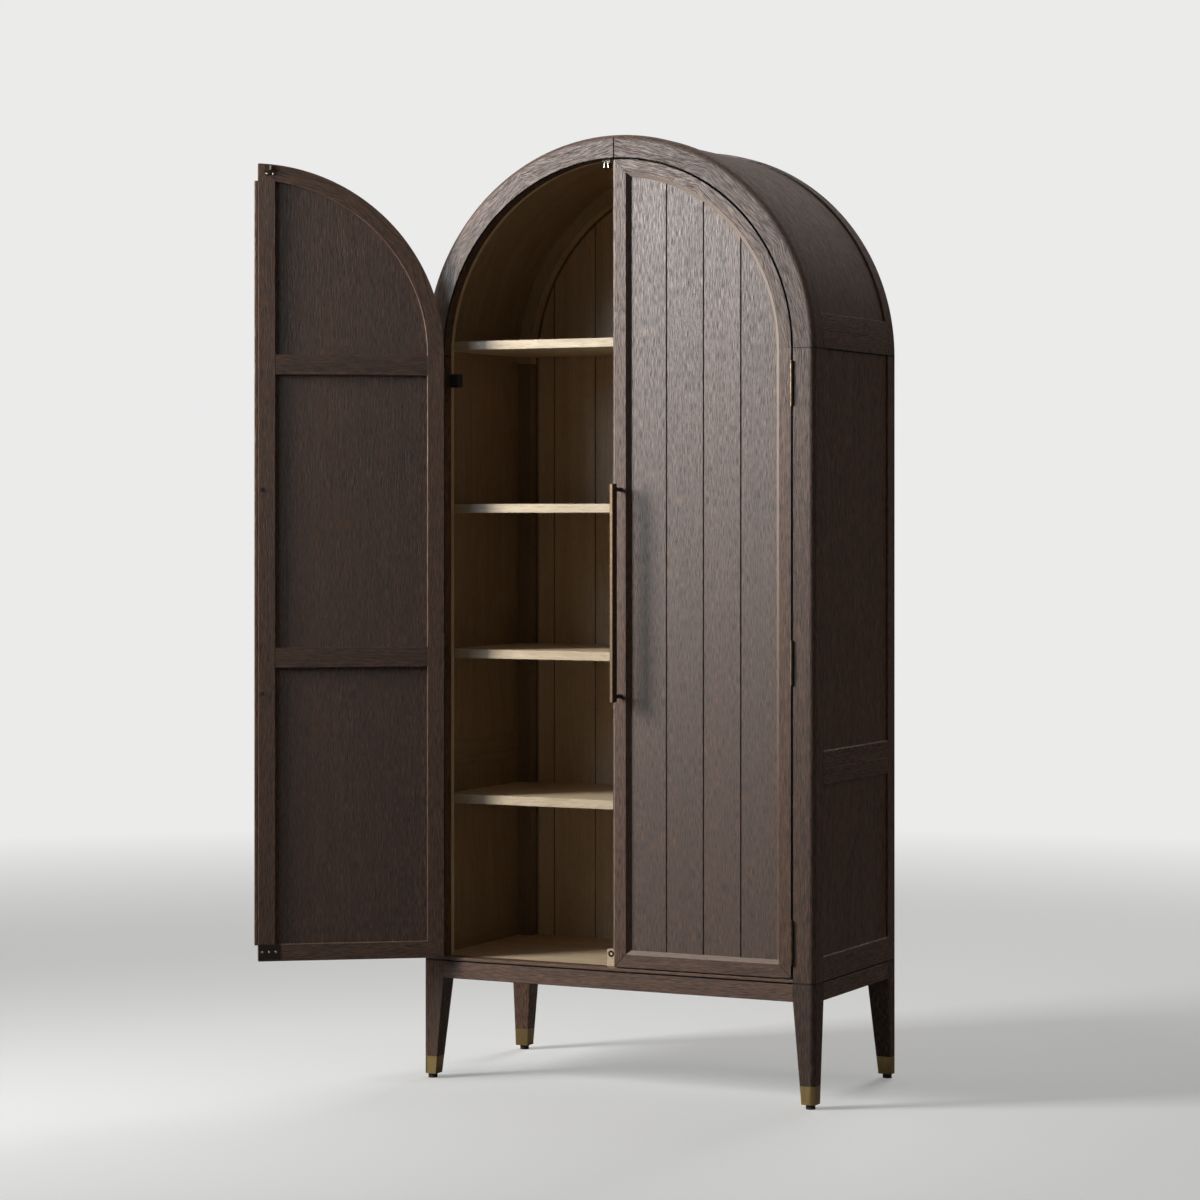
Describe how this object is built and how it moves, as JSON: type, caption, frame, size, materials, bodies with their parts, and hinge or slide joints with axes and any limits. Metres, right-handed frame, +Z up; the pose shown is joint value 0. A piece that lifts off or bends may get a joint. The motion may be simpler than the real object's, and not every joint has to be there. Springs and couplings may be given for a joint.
{
  "type": "arched cabinet",
  "caption": "Tall round-topped wooden storage cabinet on tapered metal-toed legs, with hinged plank-faced doors, long slim pulls and shelves inside.",
  "frame": {"origin": "on the floor, under the middle of the whole part's box with the left door at rest, 144 degrees open", "axes": "+X to the right seen from the front, +Y to the back, +Z up"},
  "size_m": [1.342, 0.7974, 2.24],
  "materials": {
    "dark_oak": "dark stained, wire-brushed open grain, matt lacquer",
    "lined_oak": "dark stained and wire-brushed outside, natural oak with clear matt lacquer inside",
    "light_oak": "natural oak, clear matt lacquer",
    "antique_brass": "brushed, aged and lightly lacquered",
    "black_metal": "satin black",
    "dark_bronze": "satin dark bronze",
    "bright_steel": "bright zinc plate",
    "magnet_steel": "nickel plate",
    "dark_plastic": "moulded, fine texture"
  },
  "bodies": {
    "cabinet": {"adjustable_shelves": "light_oak", "arch_rails_left": "dark_oak", "arch_rails_right": "dark_oak", "back_panel_arch": "light_oak", "back_panel_lower": "light_oak", "bottom_deck": "light_oak", "corner_blocks": "light_oak", "fixed_shelf": "light_oak", "front_arch_left": "dark_oak", "front_arch_right": "dark_oak", "front_leg_left": "dark_oak", "front_leg_right": "dark_oak", "front_post_left": "dark_oak", "front_post_right": "dark_oak", "front_sill": "dark_oak", "hinge_frame_leaves": "dark_bronze", "hinge_pins": "dark_bronze", "joint_knobs": "dark_plastic", "leg_ferrules": "antique_brass", "leg_glides": "dark_plastic", "long_aprons": "dark_oak", "magnet_catches": "magnet_steel", "rear_arch_left": "dark_oak", "rear_arch_right": "dark_oak", "rear_bottom_rail": "dark_oak", "rear_leg_left": "dark_oak", "rear_leg_right": "dark_oak", "rear_post_left": "dark_oak", "rear_post_right": "dark_oak", "roof_panel": "lined_oak", "shelf_pins": "bright_steel", "side_aprons": "dark_oak", "side_panels_left": "lined_oak", "side_panels_right": "lined_oak", "side_rails_left": "dark_oak", "side_rails_right": "dark_oak", "stop_block": "light_oak", "top_catches": "bright_steel"},
    "left_door": {"left_door_arch_rail": "dark_oak", "left_door_bottom_rail": "dark_oak", "left_door_cross_rails": "dark_oak", "left_door_handle_bar": "antique_brass", "left_door_handle_fixings": "black_metal", "left_door_hinge_leaves": "dark_bronze", "left_door_hinge_stile": "dark_oak", "left_door_meeting_stile": "dark_oak", "left_door_meeting_strip": "dark_oak", "left_door_panel": "dark_oak", "left_door_strikes": "black_metal"},
    "right_door": {"right_door_arch_rail": "dark_oak", "right_door_bottom_rail": "dark_oak", "right_door_cross_rails": "dark_oak", "right_door_handle_bar": "antique_brass", "right_door_handle_fixings": "black_metal", "right_door_hinge_leaves": "dark_bronze", "right_door_hinge_stile": "dark_oak", "right_door_meeting_stile": "dark_oak", "right_door_meeting_strip": "dark_oak", "right_door_panel": "dark_oak", "right_door_strikes": "black_metal"}
  },
  "joints": [
    {"name": "left_door_hinge", "type": "hinge", "parent": "cabinet", "child": "left_door", "pos_m": [-0.28934, -0.11226, 1], "axis": [0, 0, -1], "range_deg": [-144, 31]},
    {"name": "right_door_hinge", "type": "hinge", "parent": "cabinet", "child": "right_door", "pos_m": [0.61536, -0.11226, 1], "axis": [0, 0, 1], "range_deg": [0, 175]}
  ]
}
